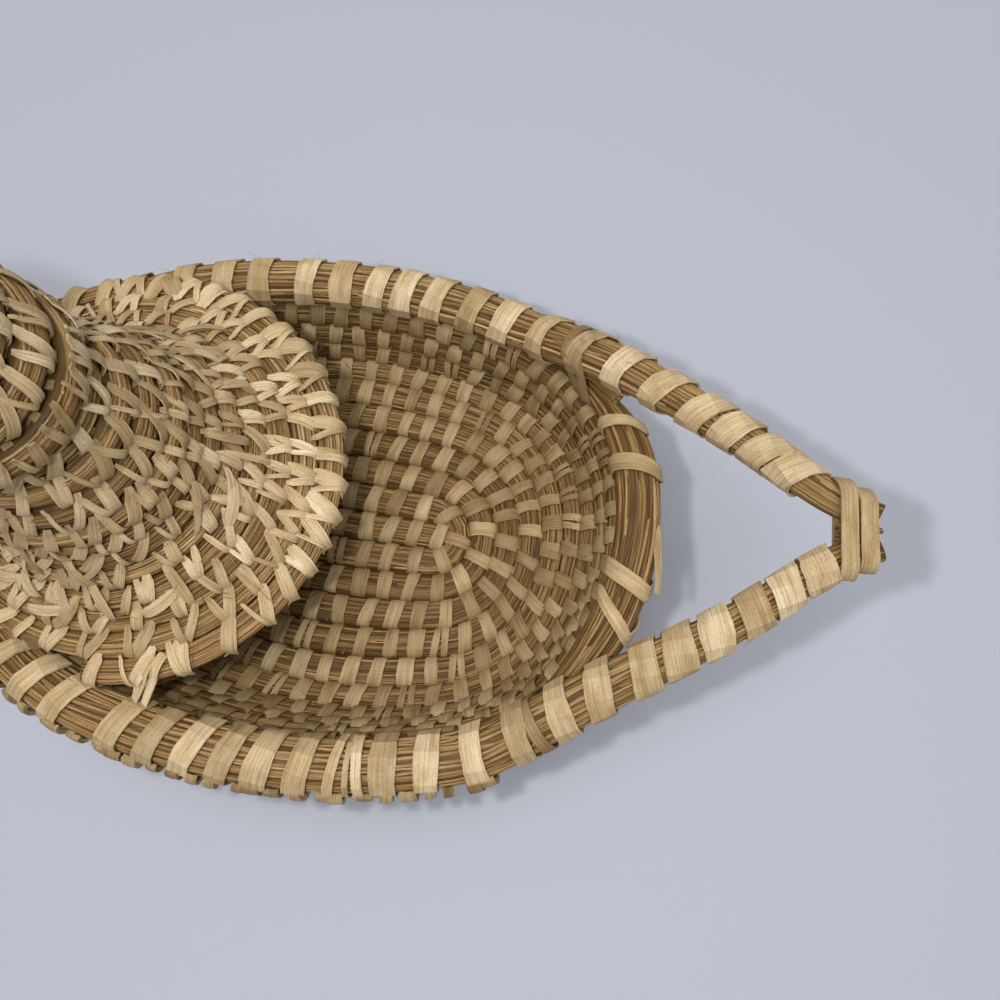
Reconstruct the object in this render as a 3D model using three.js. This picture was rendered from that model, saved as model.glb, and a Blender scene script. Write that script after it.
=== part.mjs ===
import * as THREE from "three";

// A duck-shaped coiled straw basket. Millimetres: +X runs to the tail, +Y to the far side, +Z up.
// Bundles of straw are wound into rows, each row is sewn to the last, and pale splints bind the rim.

// Bowl: one bundle wound outwards from a straight start, flat at first and then up the walls.
const rowRadius = 3.5;
const rowPitch = 7.9;
const bowlCentreX = -8.5;
const startHalfLength = 25;
const sideBow = 0.25;
const sideBowLength = 40;
const pressedDepth = 0.5;
const baseTurns = 5.4;
const bowlTurns = 9.87;
const sideWall = { flat: 40, bend: 14, lean: 1.36 };
const tailWall = { flat: 10, bend: 42, lean: 1.38 };
const frontWall = { flat: 48, bend: 14, lean: 1.2 };

// Rim strand: a thick bundle on the bowl's edge, whose two ends run on and meet in the open tail.
const farStrandRadius = 5.2;
const nearStrandRadius = 5.6;
const tipStrandRadius = 3;
const strandTaper = 0.18;
const strandLeaves = 0.15;
const bowlTailX = bowlCentreX + startHalfLength;
const tailBend = { x: bowlTailX + 45.5, halfWidth: 40, z: 51.5 };
const tailMiddle = { x: bowlTailX + 73.5, halfWidth: 21.8, z: 60.5 };
const tailNeck = { x: bowlTailX + 92.5, halfWidth: 7, z: 67 };
const tailTip = { x: bowlTailX + 101, z: 69.5 };

// Back rim: the short thick bundle that closes the bowl between the two tail strands.
const backRimRadius = 5;
const backRimEndShare = 0.45;
const backRimTurns = 0.225;

// Splint bindings.
const splintThickness = 0.45;
const wrapWidth = 6;
const wrapPitch = 9.5;
const backWrapWidth = 3.8;
const backWrapPitch = 13;
const tipWrapPitch = 4.2;
const tipWrapWidth = 3.6;
const tipWrapTurns = 2;
const tipWrapGap = 1.3;

// Cover and neck: a second bundle wound inwards from the cover's free edge and up the neck.
const coverSetback = 19.5;
const coverX = bowlCentreX - startHalfLength - coverSetback;
const coverY = 0;
const coverZ = 47;
const coverTilt = 0.03;
const coverRadius = 48.2;
const coverRowRadius = 2.75;
const coverPitch = 6.3;
const coverEdgeSlope = 0.2;
const coverEdgeFlat = 2;
const coverSweepRadius = 31;
const coverTurns = 5.5;
const neckTurns = 4.8;
const levelStart = -0.25;
const levelShare = 0.6;
const neckTaper = 0.42;
const lashingWidth = 5;
const lashingTuck = 0.5;
const lashingHug = 2;
const lashingGap = 0.8;

// Head and bill.
const headRadius = 17;
const headForward = 5;
const headForwardTurns = 1.5;
const headPitch = 7.2;
const headTurns = 4.1;
const headSteps = 16;
const headStartGap = 0.02;
const billLength = 25;
const billRootWidth = 9;
const billRootHeight = 6.5;
const billTipWidth = 6.5;
const billTipHeight = 2.6;
const billDrop = 3;
const billSeat = 0.75;
const billWrapTurns = 3;
const billWrapPitch = 6.5;
const billWrapWidth = 4.5;

// Clearances and mesh counts.
const sewnGap = 0.45;
const jointGap = 0.5;
const loopSteps = 24;
const bundleSides = 6;
const wrapSteps = 8;

const straw = new THREE.MeshStandardMaterial({ color: 0xa97f45, roughness: 0.75, metalness: 0 });
const splint = new THREE.MeshStandardMaterial({ color: 0xd3be8a, roughness: 0.6, metalness: 0 });

const basket = new THREE.Group();

function addPiece(name, geometry, material) {
  const piece = new THREE.Mesh(geometry, material);
  piece.name = name;
  basket.add(piece);
  return piece;
}

function mix(from, to, share) {
  return from + (to - from) * share;
}

function smooth(share) {
  const held = Math.min(1, Math.max(0, share));
  return held * held * (3 - 2 * held);
}

function signedVolume(corners, triangles) {
  let sum = 0;
  for (let i = 0; i < triangles.length; i += 3) {
    const [a, b, c] = [0, 1, 2].map((k) => corners[triangles[i + k]]);
    sum += a.dot(new THREE.Vector3().crossVectors(b, c));
  }
  return sum / 6;
}

// Sweeps a section along points. A section is a list of [along the normal, across it].
function sweep(points, normals, sectionAt) {
  const corners = [];
  const triangles = [];
  const last = points.length - 1;
  const sides = sectionAt(0).length;
  points.forEach((point, i) => {
    const before = points[Math.max(0, i - 1)];
    const after = points[Math.min(last, i + 1)];
    const tangent = new THREE.Vector3().subVectors(after, before).normalize();
    const normal = normals[i].clone().addScaledVector(tangent, -normals[i].dot(tangent)).normalize();
    const across = new THREE.Vector3().crossVectors(tangent, normal);
    for (const [up, side] of sectionAt(i)) {
      corners.push(point.clone().addScaledVector(normal, up).addScaledVector(across, side));
    }
  });
  for (let i = 0; i < last; i++) {
    for (let k = 0; k < sides; k++) {
      const next = (k + 1) % sides;
      const [a, b, c, d] = [i * sides + k, i * sides + next, (i + 1) * sides + next, (i + 1) * sides + k];
      // Opposite sides are split along the same diagonal, so a thin twisted strip keeps its thickness.
      triangles.push(...(k < sides / 2 ? [a, b, c, a, c, d] : [a, b, d, b, c, d]));
    }
  }
  for (let k = 1; k < sides - 1; k++) {
    triangles.push(0, k + 1, k);
    triangles.push(last * sides, last * sides + k, last * sides + k + 1);
  }
  if (signedVolume(corners, triangles) < 0) {
    triangles.reverse();
  }
  const geometry = new THREE.BufferGeometry();
  geometry.setAttribute("position", new THREE.Float32BufferAttribute(corners.flatMap((p) => p.toArray()), 3));
  geometry.setIndex(triangles);
  geometry.computeVertexNormals();
  return geometry;
}

function roundSection(radius) {
  const section = [];
  for (let k = 0; k < bundleSides; k++) {
    const angle = (2 * Math.PI * k) / bundleSides;
    section.push([radius * Math.sin(angle), radius * Math.cos(angle)]);
  }
  return section;
}

function flatSection(thickness, width) {
  const [t, w] = [thickness / 2, width / 2];
  return [[-t, -w], [t, -w], [t, w], [-t, w]];
}

// A flat foot: what reaches below the floor is pressed up to it.
function pressFlat(geometry) {
  const position = geometry.getAttribute("position");
  for (let i = 0; i < position.count; i++) {
    position.setZ(i, Math.max(0, position.getZ(i)));
  }
  return geometry;
}

// The least gap between the rounds of one tube, measured from its points to its straight runs.
function printLeastGap(name, points, radiusAt, skip) {
  let least = Infinity;
  const nearest = new THREE.Vector3();
  for (let i = 0; i < points.length; i++) {
    for (let j = i + skip; j < points.length - 1; j++) {
      new THREE.Line3(points[j], points[j + 1]).closestPointToPoint(points[i], true, nearest);
      least = Math.min(least, nearest.distanceTo(points[i]) - radiusAt(i) - radiusAt(j));
    }
  }
  console.log(`${name}: least gap to itself ${least.toFixed(2)} mm`);
}

// The bowl's plan: a straight start of two ends joined by slightly bowed sides.
// A turn of 0 faces the tail, 1/4 the far side, 1/2 the front and 3/4 the near side.
const sideShare = 1 / 6;
const endShare = 1 / 2 - sideShare;

function planAt(turn, length) {
  const bow = sideBow * Math.min(1, length / sideBowLength) + 1e-4;
  const arcRadius = startHalfLength / Math.sin(bow);
  const place = (((turn + endShare / 2) % 1) + 1) % 1;
  const half = place < 1 / 2 ? 0 : 1;
  const along = place - half / 2;
  let angle;
  let core;
  if (along < endShare) {
    angle = mix(bow - Math.PI / 2, Math.PI / 2 - bow, along / endShare);
    core = new THREE.Vector2(startHalfLength, 0);
  } else {
    angle = mix(Math.PI / 2 - bow, Math.PI / 2 + bow, (along - endShare) / sideShare);
    core = new THREE.Vector2(arcRadius * Math.cos(angle), arcRadius * (Math.sin(angle) - Math.cos(bow)));
  }
  const sign = half === 0 ? 1 : -1;
  return { x: sign * core.x, y: sign * core.y, angle: angle + half * Math.PI };
}

// The bowl's wall along one direction: flat, then a bend, then straight up at its lean.
function wallAt(angle, length) {
  const facing = Math.cos(angle);
  const share = Math.abs(facing) ** 3;
  const end = facing > 0 ? tailWall : frontWall;
  const flat = mix(sideWall.flat, end.flat, share);
  const bend = mix(sideWall.bend, end.bend, share);
  const lean = mix(sideWall.lean, end.lean, share);
  const slope = Math.min(lean, Math.max(0, (length - flat) / bend));
  const rest = Math.max(0, length - flat - bend * lean);
  return {
    run: Math.min(length, flat) + bend * Math.sin(slope) + rest * Math.cos(lean),
    rise: bend * (1 - Math.cos(slope)) + rest * Math.sin(lean),
    slope,
  };
}

const rowHeight = rowRadius * Math.cos(Math.PI / bundleSides) - pressedDepth;

function bowlAt(turn, length) {
  const plan = planAt(turn, length);
  const wall = wallAt(plan.angle, length);
  const out = new THREE.Vector2(Math.cos(plan.angle), Math.sin(plan.angle));
  const inward = -Math.sin(wall.slope);
  return {
    point: new THREE.Vector3(
      bowlCentreX + plan.x + wall.run * out.x,
      plan.y + wall.run * out.y,
      rowHeight + wall.rise,
    ),
    normal: new THREE.Vector3(inward * out.x, inward * out.y, Math.cos(wall.slope)),
  };
}

function lengthAt(turn) {
  return rowPitch * turn;
}

function bowlRows(name, fromTurn, toTurn) {
  const steps = Math.round((toTurn - fromTurn) * loopSteps);
  const points = [];
  const normals = [];
  for (let i = 0; i <= steps; i++) {
    const turn = mix(fromTurn, toTurn, i / steps);
    const at = bowlAt(turn, lengthAt(turn));
    points.push(at.point);
    normals.push(at.normal);
  }
  printLeastGap(name, points, () => rowRadius, loopSteps / 2);
  addPiece(name, pressFlat(sweep(points, normals, () => roundSection(rowRadius))), straw);
}

// The rim strand's route, with the room that its binding needs above the last row.
function wrapInner(radius) {
  return (radius + sewnGap) / Math.cos(Math.PI / wrapSteps);
}

function wrapOuter(radius) {
  return wrapInner(radius) + splintThickness;
}

function strandRadiusAt(share) {
  const side = mix(farStrandRadius, nearStrandRadius, smooth((share - 0.25) / 0.5));
  const toEnd = Math.min(share, 1 - share) / strandTaper;
  return mix(tipStrandRadius, side, smooth(toEnd));
}

function tailPoints(side) {
  const endOffset = tipStrandRadius + jointGap / 2;
  return [
    new THREE.Vector3(tailBend.x, side * tailBend.halfWidth, tailBend.z),
    new THREE.Vector3(tailMiddle.x, side * tailMiddle.halfWidth, tailMiddle.z),
    new THREE.Vector3(tailNeck.x, side * tailNeck.halfWidth, tailNeck.z),
    new THREE.Vector3(tailTip.x, side * endOffset, tailTip.z),
  ];
}

function strandCurve() {
  const route = tailPoints(1).reverse();
  const rimSteps = 20;
  for (let i = 0; i <= rimSteps; i++) {
    const share = i / rimSteps;
    const turn = Math.floor(bowlTurns) + mix(strandLeaves, 1 - strandLeaves, share);
    const seat = rowRadius + wrapOuter(mix(farStrandRadius, nearStrandRadius, smooth(share))) + sewnGap;
    route.push(bowlAt(turn, lengthAt(turn) + seat).point);
  }
  route.push(...tailPoints(-1));
  return new THREE.CatmullRomCurve3(route, false, "centripetal");
}

const strand = strandCurve();
strand.arcLengthDivisions = 1200;
const strandLength = strand.getLength();

function strandAt(distance) {
  const share = distance / strandLength;
  const point = strand.getPointAt(share);
  const tangent = strand.getTangentAt(share);
  const normal = new THREE.Vector3(0, 0, 1);
  normal.addScaledVector(tangent, -normal.dot(tangent)).normalize();
  return { point, normal, across: new THREE.Vector3().crossVectors(tangent, normal) };
}

function strandPiece() {
  const steps = 72;
  const points = [];
  const normals = [];
  for (let i = 0; i <= steps; i++) {
    const at = strandAt((strandLength * i) / steps);
    points.push(at.point);
    normals.push(at.normal);
  }
  const radius = (i) => strandRadiusAt(i / steps);
  printLeastGap("rim_and_tail_strand", points, radius, steps / 2);
  addPiece("rim_and_tail_strand", sweep(points, normals, (i) => roundSection(radius(i))), straw);
}

// A splint wound round a bundle. frameAt gives the bundle's centre, normal, across and radius.
function winding(name, frameAt, from, turns, pitch, width) {
  const steps = Math.round(turns * wrapSteps);
  const points = [];
  const normals = [];
  for (let i = 0; i <= steps; i++) {
    const angle = (2 * Math.PI * i) / wrapSteps;
    const at = frameAt(from + (pitch * i) / wrapSteps);
    const out = at.normal.clone().multiplyScalar(Math.cos(angle)).addScaledVector(at.across, Math.sin(angle));
    points.push(at.point.clone().addScaledVector(out, wrapInner(at.radius) + splintThickness / 2));
    normals.push(out);
  }
  console.log(`${name}: least gap between its turns ${(pitch - width).toFixed(2)} mm`);
  addPiece(name, sweep(points, normals, () => flatSection(splintThickness, width)), splint);
}

function strandFrame(distance) {
  const at = strandAt(distance);
  return { ...at, radius: strandRadiusAt(distance / strandLength) };
}

function strandWindings() {
  const ends = tipWrapTurns * tipWrapPitch + wrapWidth;
  const names = ["tail_wrap_far", "rim_wrap_far", "rim_wrap_front", "rim_wrap_near", "tail_wrap_near"];
  const shares = [0.14, 0.205, 0.31, 0.205, 0.14];
  const room = strandLength - 2 * ends;
  let from = ends;
  names.forEach((name, i) => {
    const turns = Math.floor((room * shares[i]) / wrapPitch) - 0.25;
    winding(name, strandFrame, from + wrapWidth / 2, turns, wrapPitch, wrapWidth);
    from += room * shares[i];
  });
}

// The binding at the tip goes round both ends of the strand, side by side.
function tipBinding() {
  const corners = [];
  for (const side of [1, -1]) {
    for (let k = 0; k <= 4; k++) {
      corners.push({ side, angle: (Math.PI / 4) * k - (side * Math.PI) / 2 });
    }
  }
  const points = [];
  const normals = [];
  const steps = Math.round(tipWrapTurns * corners.length);
  for (let i = 0; i <= steps; i++) {
    const { side, angle } = corners[i % corners.length];
    const back = tipWrapWidth / 2 + tipWrapPitch * (tipWrapTurns - i / corners.length);
    const at = strandAt(back);
    const radius = strandRadiusAt(back / strandLength);
    const reach = (radius + tipWrapGap) / Math.cos(Math.PI / 8) + splintThickness / 2;
    const heading = strand.getTangentAt(back / strandLength);
    const out = new THREE.Vector3(0, Math.cos(angle), Math.sin(angle));
    points.push(new THREE.Vector3(
      at.point.x,
      side * at.point.y + (reach * out.y) / Math.cos(Math.atan2(heading.y, -heading.x)),
      at.point.z + (reach * out.z) / Math.cos(Math.atan2(heading.z, -heading.x)),
    ));
    normals.push(out);
  }
  addPiece("tail_tip_binding", sweep(points, normals, () => flatSection(splintThickness, tipWrapWidth)), splint);
}

// Back rim: seated on the row below, with its ends thinned and tucked in under the strand.
function backRimRadiusAt(share) {
  const toEnd = Math.min(share, 1 - share) / 0.3;
  return backRimRadius * mix(backRimEndShare, 1, smooth(toEnd));
}

function backRimAt(share) {
  const turn = bowlTurns + 0.008 + backRimTurns * share;
  const radius = backRimRadiusAt(share);
  const seat = rowRadius + wrapOuter(radius) + sewnGap;
  return { ...bowlAt(turn, lengthAt(turn - 1) + seat), radius };
}

function backRim() {
  const steps = 20;
  const points = [];
  const normals = [];
  for (let i = 0; i <= steps; i++) {
    const at = backRimAt(i / steps);
    points.push(at.point);
    normals.push(at.normal);
  }
  addPiece("back_rim_coil", sweep(points, normals, (i) => roundSection(backRimRadiusAt(i / steps))), straw);
  const curve = new THREE.CatmullRomCurve3(points, false, "centripetal");
  const length = curve.getLength();
  const frameAt = (distance) => {
    const share = distance / length;
    const tangent = curve.getTangentAt(share);
    const normal = new THREE.Vector3(0, 0, 1).addScaledVector(tangent, -tangent.z).normalize();
    const across = new THREE.Vector3().crossVectors(tangent, normal);
    return { point: curve.getPointAt(share), normal, across, radius: backRimRadiusAt(share) };
  };
  const turns = Math.floor((length - 2 * backWrapPitch) / backWrapPitch);
  const from = (length - turns * backWrapPitch) / 2;
  winding("back_rim_wrap", frameAt, from, turns, backWrapPitch, backWrapWidth);
}

// Cover and neck: the profile rises from the free edge and turns upright into the neck.
// Its rows keep level round the back and climb from one to the next round the front.
const coverCurve = (Math.PI / 2 - coverEdgeSlope) * coverSweepRadius;
const neckTopTurn = coverTurns + neckTurns;

function rowsAt(turn) {
  const place = turn - levelStart;
  const level = Math.floor(place);
  return level + smooth((place - level - levelShare) / (1 - levelShare));
}

function coverProfile(length) {
  const flat = Math.min(length, coverEdgeFlat);
  const curved = Math.min(Math.max(0, length - coverEdgeFlat), coverCurve);
  const straight = Math.max(0, length - coverEdgeFlat - coverCurve);
  const slope = coverEdgeSlope + curved / coverSweepRadius;
  const inward = flat * Math.cos(coverEdgeSlope) + neckTaper * straight
    + coverSweepRadius * (Math.sin(slope) - Math.sin(coverEdgeSlope));
  const rise = flat * Math.sin(coverEdgeSlope) + straight
    + coverSweepRadius * (Math.cos(coverEdgeSlope) - Math.cos(slope));
  return { radius: coverRadius - inward, rise, slope };
}

function coverAt(turn) {
  const profile = coverProfile(coverPitch * rowsAt(turn));
  const angle = 2 * Math.PI * turn;
  const out = new THREE.Vector2(Math.cos(angle), Math.sin(angle));
  const point = new THREE.Vector3(profile.radius * out.x, profile.radius * out.y, profile.rise);
  const outward = Math.sin(profile.slope);
  const normal = new THREE.Vector3(outward * out.x, outward * out.y, Math.cos(profile.slope));
  const tilt = new THREE.Euler(coverTilt, 0, 0);
  point.applyEuler(tilt).add(new THREE.Vector3(coverX, coverY, coverZ));
  return { point, normal: normal.applyEuler(tilt) };
}

function coverRows(name, fromTurn, toTurn) {
  const steps = Math.round((toTurn - fromTurn) * loopSteps);
  const points = [];
  const normals = [];
  for (let i = 0; i <= steps; i++) {
    const turn = mix(fromTurn, toTurn, i / steps);
    const at = coverAt(turn);
    points.push(at.point);
    normals.push(at.normal);
  }
  printLeastGap(name, points, () => coverRowRadius, loopSteps / 2);
  addPiece(name, sweep(points, normals, () => roundSection(coverRowRadius)), straw);
}

// Head: the bundle goes on from the neck round a ball, drifts forward and closes at the crown.
const neckTop = coverProfile(coverPitch * rowsAt(neckTopTurn));
const headStartAngle = Math.asin(neckTop.radius / headRadius);
const head = new THREE.Vector3(
  coverX - headForward,
  coverY - Math.sin(coverTilt) * neckTop.rise,
  coverZ + neckTop.rise + headRadius * Math.cos(headStartAngle),
);

function headPoint(turn) {
  const rows = rowsAt(neckTopTurn + turn) - rowsAt(neckTopTurn);
  const polar = headStartAngle + (headPitch / headRadius) * rows;
  const angle = 2 * Math.PI * (neckTopTurn + turn);
  const out = new THREE.Vector3(
    Math.sin(polar) * Math.cos(angle),
    Math.sin(polar) * Math.sin(angle),
    -Math.cos(polar),
  );
  const point = head.clone().addScaledVector(out, headRadius);
  point.x += headForward * (1 - smooth(turn / headForwardTurns));
  return { point, normal: out };
}

function headPiece() {
  const steps = Math.round(headTurns * headSteps);
  const points = [];
  const normals = [];
  for (let i = 0; i <= steps; i++) {
    const at = headPoint(headStartGap + ((headTurns - headStartGap) * i) / steps);
    points.push(at.point);
    normals.push(at.normal);
  }
  printLeastGap("head_coil", points, () => coverRowRadius, headSteps / 2);
  addPiece("head_coil", sweep(points, normals, () => roundSection(coverRowRadius)), straw);
}

// Bill: a flattened bundle that points forward and a little down, with a short binding.
function ovalSection(width, height, sides) {
  const section = [];
  for (let k = 0; k < sides; k++) {
    const angle = (2 * Math.PI * k) / sides;
    section.push([height * Math.sin(angle), width * Math.cos(angle)]);
  }
  return section;
}

function billPieces() {
  const steps = 8;
  const sides = 10;
  const rootX = head.x - headRadius - coverRowRadius - sewnGap + billSeat;
  const root = new THREE.Vector3(rootX, head.y, head.z);
  const at = (share) => new THREE.Vector3(root.x - billLength * share, root.y, root.z - billDrop * share);
  const sizeAt = (share) => {
    const round = Math.sqrt(Math.max(0, 1 - Math.max(0, (share - 0.7) / 0.3) ** 2));
    return {
      width: mix(billRootWidth, billTipWidth, share) * mix(0.35, 1, round),
      height: mix(billRootHeight, billTipHeight, share) * mix(0.5, 1, round),
    };
  };
  const points = [];
  for (let i = 0; i <= steps; i++) {
    points.push(at(i / steps));
  }
  const up = points.map(() => new THREE.Vector3(0, 0, 1));
  addPiece("bill", sweep(points, up, (i) => {
    const size = sizeAt(i / steps);
    return ovalSection(size.width, size.height, sides);
  }), straw);
  const windPoints = [];
  const windNormals = [];
  const windSteps = billWrapTurns * 12;
  for (let i = 0; i <= windSteps; i++) {
    const angle = (2 * Math.PI * i) / 12;
    const share = (billWrapWidth / 2 + 0.5 + (billWrapPitch * i) / 12) / billLength;
    const size = sizeAt(share - billWrapWidth / 2 / billLength);
    const spare = jointGap + splintThickness;
    const out = new THREE.Vector3(
      0,
      ((size.width + spare) / Math.cos(Math.PI / 12)) * Math.cos(angle),
      ((size.height + spare) / Math.cos(Math.PI / 12)) * Math.sin(angle),
    );
    windPoints.push(at(share).add(out));
    windNormals.push(new THREE.Vector3(0, out.y / size.width ** 2, out.z / size.height ** 2).normalize());
  }
  addPiece(
    "bill_wrap",
    sweep(windPoints, windNormals, () => flatSection(splintThickness, billWrapWidth)),
    splint,
  );
}

// Lashings: each strip lies over the cover's edge, crosses to the rim strand and hugs it.
function strandCrossing(x, side) {
  const samples = 400;
  let best = null;
  for (let i = 0; i <= samples; i++) {
    const distance = (strandLength * i) / samples;
    const point = strand.getPointAt(i / samples);
    const onSide = side === 0 ? point.x < coverX : side * point.y > 0;
    const miss = side === 0 ? Math.abs(point.y) : Math.abs(point.x - x);
    if (onSide && (best === null || miss < best.miss)) {
      best = { point, miss, radius: wrapOuter(strandRadiusAt(distance / strandLength)) };
    }
  }
  return best;
}

function lashing(name, turn, side) {
  const edge = coverAt(turn).point;
  const rim = strandCrossing(edge.x, side);
  const rimPoint = side === 0 ? rim.point : new THREE.Vector3(edge.x, rim.point.y, rim.point.z);
  const out = new THREE.Vector3(rimPoint.x - edge.x, rimPoint.y - edge.y, 0);
  const apart = out.length();
  out.normalize();
  const drop = rimPoint.z - edge.z;
  const nearRadius = coverRowRadius + sewnGap + splintThickness / 2;
  const farRadius = rim.radius + lashingGap + splintThickness / 2;
  const reach = Math.hypot(apart, drop);
  const touch = Math.atan2(drop, apart) + Math.acos((nearRadius - farRadius) / reach);
  const points = [];
  const normals = [];
  const place = (centre, radius, angle) => {
    const normal = out.clone().multiplyScalar(Math.cos(angle));
    normal.z += Math.sin(angle);
    points.push(centre.clone().addScaledVector(normal, radius));
    normals.push(normal);
  };
  const steps = 8;
  for (let i = 0; i <= 2; i++) {
    place(edge, nearRadius, touch + (lashingTuck * (2 - i)) / 2);
  }
  for (let i = 0; i <= steps; i++) {
    place(rimPoint, farRadius / Math.cos(lashingHug / steps / 2), touch - (lashingHug * i) / steps);
  }
  addPiece(name, sweep(points, normals, () => flatSection(splintThickness, lashingWidth)), splint);
}

bowlRows("base_coil", sideShare, baseTurns);
bowlRows("wall_coil", baseTurns + 0.01, bowlTurns);
strandPiece();
strandWindings();
tipBinding();
backRim();
coverRows("cover_coil", levelStart, coverTurns);
coverRows("neck_coil", coverTurns + 0.02, neckTopTurn);
headPiece();
billPieces();
lashing("cover_lashing_far", 0.25, 1);
lashing("cover_lashing_near", -0.195, -1);
lashing("cover_lashing_front", 0.5, 0);

// The origin is at the middle of the basket's box, on the surface that it stands on.
const box = new THREE.Box3().setFromObject(basket, true);
const middle = box.getCenter(new THREE.Vector3());
basket.position.set(-middle.x, -middle.y, -box.min.z);
basket.updateMatrixWorld(true);

export default basket;
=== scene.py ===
import math

import bmesh
import bpy
import numpy as np
from mathutils import Matrix, Vector


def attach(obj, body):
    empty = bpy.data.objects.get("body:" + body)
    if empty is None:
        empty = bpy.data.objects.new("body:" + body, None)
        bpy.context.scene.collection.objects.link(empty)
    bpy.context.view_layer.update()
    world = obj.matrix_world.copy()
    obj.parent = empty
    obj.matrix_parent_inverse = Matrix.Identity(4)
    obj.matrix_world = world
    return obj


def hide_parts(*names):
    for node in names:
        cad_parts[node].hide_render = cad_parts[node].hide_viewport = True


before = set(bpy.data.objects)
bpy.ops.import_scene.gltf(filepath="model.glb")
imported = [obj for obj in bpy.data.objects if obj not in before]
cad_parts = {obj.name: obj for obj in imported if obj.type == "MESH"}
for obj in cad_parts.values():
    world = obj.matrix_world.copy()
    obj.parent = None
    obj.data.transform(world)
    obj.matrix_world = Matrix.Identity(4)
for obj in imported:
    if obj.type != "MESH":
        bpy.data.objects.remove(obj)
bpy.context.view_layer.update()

# A small coiled basket in the shape of a duck: bundles of dry straw sewn with pale palm splints.
# Shapes are worked out in millimetres from the basket's own origin and set down in metres.
METRE = 0.001
SEED = 11
rng = np.random.default_rng(SEED)
# The frame's origin, seen from the point that the bundles are wound round.
BASKET_MIDDLE = np.array([4.1094, -0.6737, 0.0])


def mix(first, last, share):
    return first + (last - first) * share


def smooth(share):
    held = np.clip(share, 0, 1)
    return held * held * (3 - 2 * held)


def unit(vectors):
    return vectors / np.linalg.norm(vectors, axis=-1, keepdims=True)


# ---------------------------------------------------------------- camera, light and floor

# Where the camera stood, in metres, and which ways it faced.
CAMERA_PLACE = (0.038579, -0.042906, 0.223424)
CAMERA_RIGHT = Vector((0.99255, 0.12187, 0.0))
CAMERA_FORWARD = Vector((-0.03154, 0.25689, -0.96593))
CAMERA_SENSOR, CAMERA_LENS, CAMERA_CLIP = 36, 27.04, 0.01
# The floor's half width and how far it lies below the basket, and the lamp's place and size, are
# in metres. The ceiling's spread is in degrees.
FLOOR_HALF, FLOOR_DROP = 4, 0.0004
CEILING_STRENGTH, CEILING_SPREAD = 1.75, 45
LAMP_PLACE, LAMP_SIZE, LAMP_STRENGTH = (0.007, -0.039, 0.223), 0.005, 15.0
ROOM_STRENGTH = 0.46


def place_camera():
    """Nearly overhead, turned a little, as the photograph was taken."""
    camera = bpy.data.objects.new("camera", bpy.data.cameras.new("camera"))
    camera.data.sensor_width = CAMERA_SENSOR
    camera.data.lens = CAMERA_LENS
    camera.data.clip_start = CAMERA_CLIP
    up = CAMERA_RIGHT.cross(CAMERA_FORWARD)
    turn = Matrix((CAMERA_RIGHT, up, -CAMERA_FORWARD)).transposed().to_4x4()
    camera.matrix_world = Matrix.Translation(CAMERA_PLACE) @ turn
    bpy.context.scene.collection.objects.link(camera)
    bpy.context.scene.camera = camera


def linear(colour):
    """An sRGB hex colour as Blender's linear red, green and blue."""
    parts = [int(colour[i:i + 2], 16) / 255 for i in (1, 3, 5)]
    return [p / 12.92 if p <= 0.04045 else ((p + 0.055) / 1.055) ** 2.4 for p in parts] + [1.0]


def add_node(tree, kind, settings=None, inputs=None, stops=()):
    """Adds a node. A setting is a property; an input is a value or another node's socket."""
    node = tree.nodes.new(kind)
    for name, value in (settings or {}).items():
        setattr(node, name, value)
    for name, value in (inputs or {}).items():
        if isinstance(value, bpy.types.NodeSocket):
            tree.links.new(value, node.inputs[name])
        else:
            node.inputs[name].default_value = value
    if stops:
        marks = node.color_ramp.elements
        while len(marks) < len(stops):
            marks.new(0.5)
        for mark, (place, colour) in zip(marks, stops):
            mark.position = place
            mark.color = linear(colour)
    return node


def new_material(name):
    material = bpy.data.materials.new(name)
    material.use_nodes = True
    tree = material.node_tree
    tree.nodes.clear()
    shader = add_node(tree, "ShaderNodeBsdfPrincipled")
    add_node(tree, "ShaderNodeOutputMaterial", inputs={"Surface": shader.outputs["BSDF"]})
    return material, tree, shader


def place_floor():
    """A plain matt table top, pale lavender grey."""
    sheet = bmesh.new()
    bmesh.ops.create_grid(sheet, x_segments=1, y_segments=1, size=FLOOR_HALF)
    bmesh.ops.translate(sheet, verts=sheet.verts, vec=(0, 0, -FLOOR_DROP))
    mesh = bpy.data.meshes.new("floor")
    sheet.to_mesh(mesh)
    sheet.free()
    floor = bpy.data.objects.new("floor", mesh)
    bpy.context.scene.collection.objects.link(floor)
    # Painted board, rolled on matt: it has no gloss that shows from above.
    material, _, shader = new_material("matt_painted_board")
    shader.inputs["Base Color"].default_value = linear("#A9ACB6")
    shader.inputs["Roughness"].default_value = 0.8
    mesh.materials.append(material)


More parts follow.
